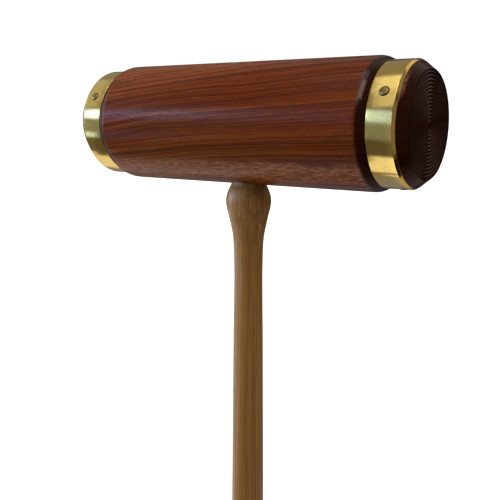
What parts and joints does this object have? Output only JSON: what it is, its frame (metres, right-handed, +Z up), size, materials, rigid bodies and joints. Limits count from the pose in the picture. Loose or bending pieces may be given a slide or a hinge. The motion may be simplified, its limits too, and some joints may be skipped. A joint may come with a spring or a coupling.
{
  "type": "wooden mallet",
  "caption": "Long-handled croquet-pattern wooden mallet: round dark hardwood head with pinned brass end rings and grooved faces, wedged on a slim tapered ash handle.",
  "frame": {"origin": "on the handle's axis, at the middle of the straight grip", "axes": "+Z up along the handle from the butt to the head; +X along the head's axis towards its right striking face; +Y across the head, with the first pin of each ring on the -Y side"},
  "size_m": [0.238, 0.0762, 0.9144],
  "materials": {
    "head_wood": "satin",
    "ring_brass": "satin",
    "pin_brass": "satin",
    "handle_wood": "satin",
    "wedge_wood": "satin"
  },
  "bodies": {
    "root": {"head": "head_wood", "brass_ring_left": "ring_brass", "brass_ring_right": "ring_brass", "ring_pin_left_1": "pin_brass", "ring_pin_left_2": "pin_brass", "ring_pin_left_3": "pin_brass", "ring_pin_right_1": "pin_brass", "ring_pin_right_2": "pin_brass", "ring_pin_right_3": "pin_brass", "handle": "handle_wood", "handle_wedge": "wedge_wood"}
  },
  "joints": []
}
